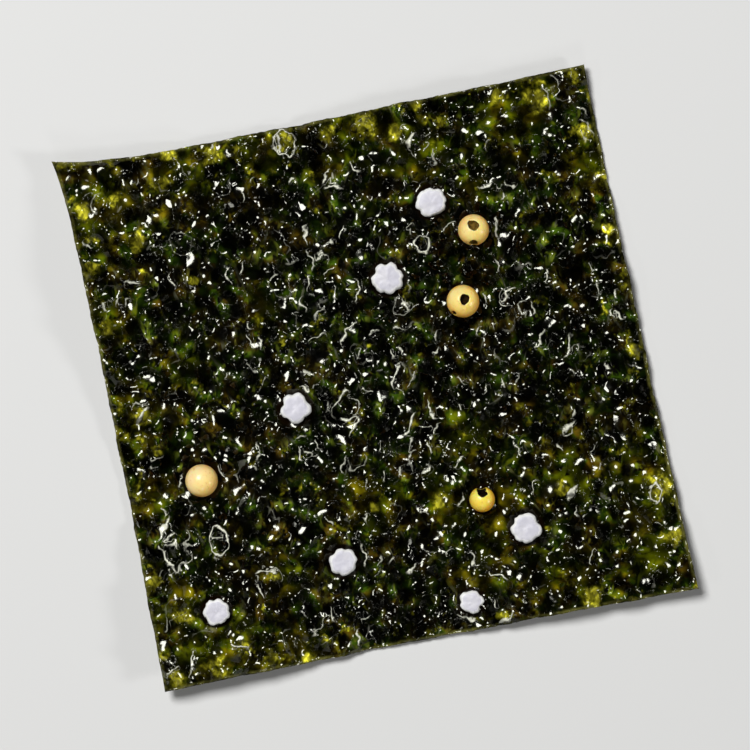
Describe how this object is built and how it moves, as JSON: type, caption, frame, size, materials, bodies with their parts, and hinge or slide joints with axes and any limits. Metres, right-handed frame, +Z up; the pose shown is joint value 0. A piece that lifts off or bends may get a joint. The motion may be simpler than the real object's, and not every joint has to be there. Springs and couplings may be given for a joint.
{
  "type": "seaweed snack",
  "caption": "Square of crisp, oiled roasted seaweed: a thin, gently warped sheet with a blistered, pebbled skin, seasoned with round golden seeds and coarse lobed salt crystals.",
  "frame": {"origin": "under the middle of the bounding box, at the level of the flattened low spots that the sheet rests on", "axes": "+Z up out of the seasoned face, +X to the right and +Y to the top of the sheet as it is shown from above"},
  "size_m": [0.0576, 0.0568, 0.0051],
  "materials": {
    "seaweed": "roasted seaweed, near-black green with olive and yellow-green patches, glossy with oil",
    "seed": "golden seed husk, smooth and satin",
    "salt": "coarse salt crystal, frosted white"
  },
  "bodies": {
    "root": {"seaweed_sheet": "seaweed"}
  },
  "joints": []
}
